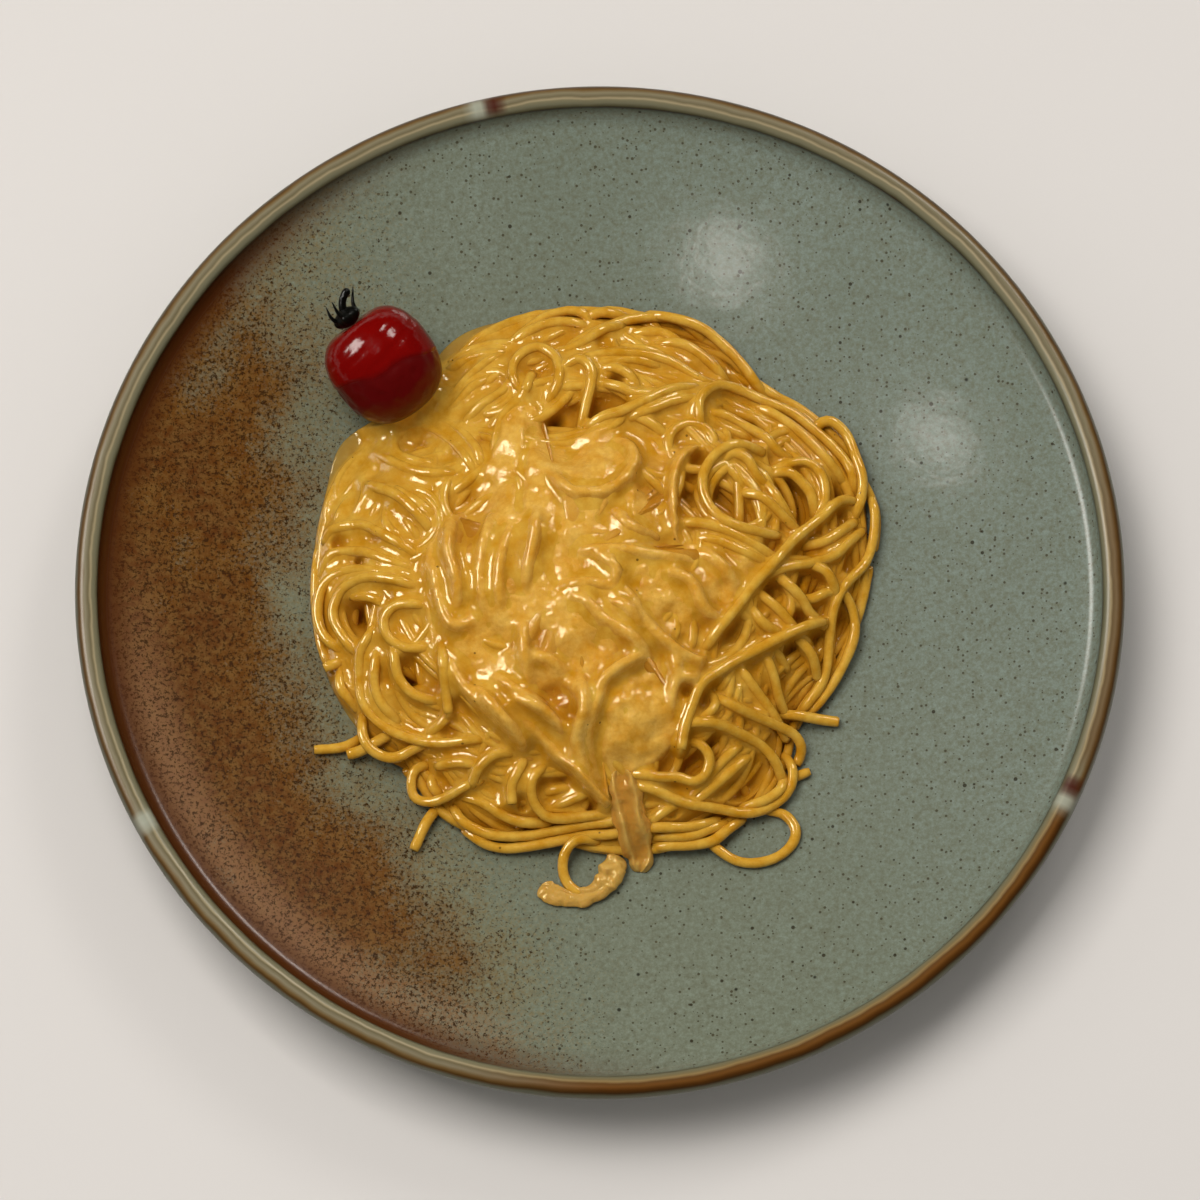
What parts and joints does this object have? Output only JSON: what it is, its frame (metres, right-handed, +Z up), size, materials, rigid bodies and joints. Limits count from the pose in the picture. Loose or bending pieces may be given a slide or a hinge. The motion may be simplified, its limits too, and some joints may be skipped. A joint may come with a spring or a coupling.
{
  "type": "plate of spaghetti in parmesan sauce",
  "caption": "Shallow stoneware pasta plate with a heap of spaghetti under thick parmesan sauce, a cherry tomato at its edge and melted cheese at the near side.",
  "frame": {"origin": "centre of the foot ring's underside, on the surface that the plate stands on", "axes": "+Z up; +Y towards the far side of the plate, away from the diner; +X to the diner's right. The tomato lies at -X +Y and the melted cheese at -Y."},
  "size_m": [0.27, 0.27, 0.0434],
  "materials": {
    "glazed_stoneware": "satin sage glaze with dark specks and a sprayed iron brown side",
    "pasta": "cooked wheat pasta, wet with sauce",
    "cheese_sauce": "thick glossy parmesan sauce",
    "tomato_skin": "smooth wet skin, slipped from the lower half",
    "dried_calyx": "charred and dry",
    "melted_cheese": "translucent melted cheese with pale edges"
  },
  "bodies": {
    "root": {"plate": "glazed_stoneware", "spaghetti": "pasta", "parmesan_sauce": "cheese_sauce", "cherry_tomato": "tomato_skin", "tomato_calyx": "dried_calyx", "cheese_ribbon": "melted_cheese", "cheese_curl": "melted_cheese"}
  },
  "joints": []
}
